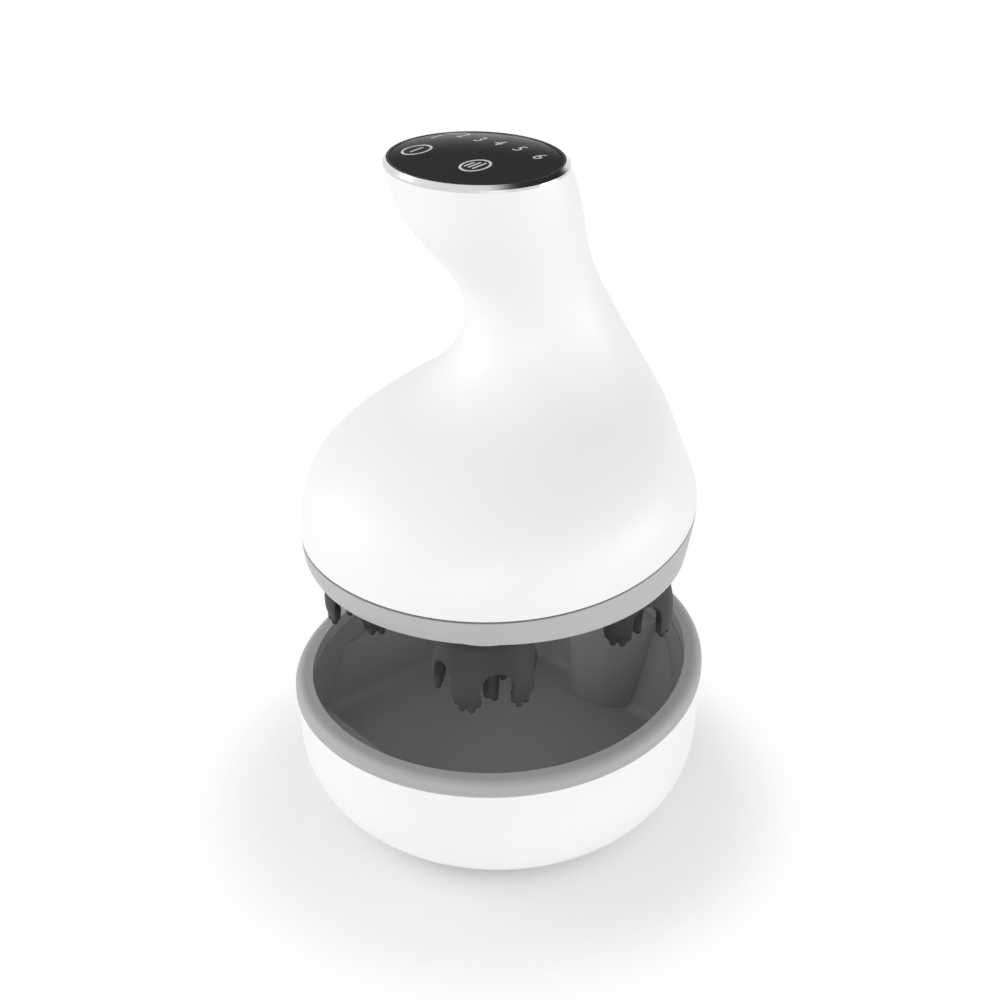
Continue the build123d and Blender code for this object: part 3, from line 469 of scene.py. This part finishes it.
floor_r, floor_steps = 0.6, 96
fade_from, fade_to = 0.056, 0.088
floor_shape = bmesh.new()
bmesh.ops.create_circle(floor_shape, cap_ends=True, radius=floor_r, segments=floor_steps)
floor = new_piece(mesh_of(floor_shape, "floor"), "floor")
floor.data.materials.append(fading("floor_paint", 0.97, 0.9, 0.0, fade_from, fade_to))

# --------------------------------------------------------------------- surround
# Even white light from all round.  What is seen of the surround, straight on or in
# a gloss, is plain white.
even_strength, white_strength = 0.70, 1.0
world = bpy.data.worlds.new("surround")
bpy.context.scene.world = world
world.use_nodes = True
nodes, links = world.node_tree.nodes, world.node_tree.links
even, white = nodes["Background"], nodes.new("ShaderNodeBackground")
for background, strength in ((even, even_strength), (white, white_strength)):
    background.inputs["Color"].default_value = (1, 1, 1, 1)
    background.inputs["Strength"].default_value = strength
path = nodes.new("ShaderNodeLightPath")
seen = path.outputs["Is Camera Ray"]
for ray in ("Is Glossy Ray", "Is Transmission Ray"):
    either = nodes.new("ShaderNodeMath")
    either.operation = "MAXIMUM"
    links.new(seen, either.inputs[0])
    links.new(path.outputs[ray], either.inputs[1])
    seen = either.outputs["Value"]
choice = nodes.new("ShaderNodeMixShader")
links.new(seen, choice.inputs["Fac"])
links.new(even.outputs["Background"], choice.inputs[1])
links.new(white.outputs["Background"], choice.inputs[2])
links.new(choice.outputs["Shader"], nodes["World Output"].inputs["Surface"])

# ------------------------------------------------------------------ black flags
# Two round black cloths, soft at the edge, that hang above and behind the object.
# Only gloss shows them, as the dark stretches in the chrome and the glass.
flag_middle, flag_distance, flag_steps = Vector((0, 0, 0.17)), 0.55, 64
black_cloth = fading("black_cloth", 0.02, 1.0, 0.5, 0.45, 1.0)
for name, side, size in (("right flag", (0.33, 0.38, 0.86), 0.85),
                         ("back flag", (-0.69, 0.44, 0.57), 0.30)):
    flag_shape = bmesh.new()
    bmesh.ops.create_circle(flag_shape, cap_ends=True, radius=1.0, segments=flag_steps)
    flag = new_piece(mesh_of(flag_shape, name), name)
    flag.location = flag_middle + Vector(side) * flag_distance
    flag.rotation_euler = Vector(side).to_track_quat("Z", "Y").to_euler()
    flag.scale = (size, size, size)
    flag.visible_camera = flag.visible_diffuse = flag.visible_shadow = False
    flag.data.materials.append(black_cloth)

# ------------------------------------------------------------------- soft boxes
# Three square soft boxes that stand round the object and point at its middle.
box_size, box_target = 0.5, Vector((0, 0, 0.08))
for name, spot, power in (("front box", (0.42, -0.72, 0.12), 1.75),
                          ("right box", (0.62, 0.46, 0.13), 1.6),
                          ("left box", (-0.58, -0.46, 0.30), 1.5)):
    box = bpy.data.lights.new(name, "AREA")
    box.shape, box.size, box.energy = "SQUARE", box_size, power
    lamp = bpy.data.objects.new(name, box)
    lamp.location = spot
    lamp.rotation_euler = (box_target - Vector(spot)).to_track_quat("-Z", "Y").to_euler()
    bpy.context.scene.collection.objects.link(lamp)

# ----------------------------------------------------------------------- camera
# It looks down on the object from its front right, a little aside of its middle.
azimuth, elevation, distance = radians(50), radians(26.06), 0.355
aim_height, aim_aside = 0.0881, 0.00055
lens = bpy.data.cameras.new("camera")
lens.lens, lens.sensor_width = 50.4, 36.0
camera = bpy.data.objects.new("camera", lens)
towards = Vector((sin(azimuth) * cos(elevation), -cos(azimuth) * cos(elevation), sin(elevation)))
aside = Vector((cos(azimuth), sin(azimuth), 0)) * aim_aside
camera.location = Vector((0, 0, aim_height)) + towards * distance + aside
camera.rotation_euler = (-towards).to_track_quat("-Z", "Y").to_euler()
bpy.context.scene.collection.objects.link(camera)
bpy.context.scene.camera = camera
bpy.context.scene.view_settings.view_transform = "Standard"
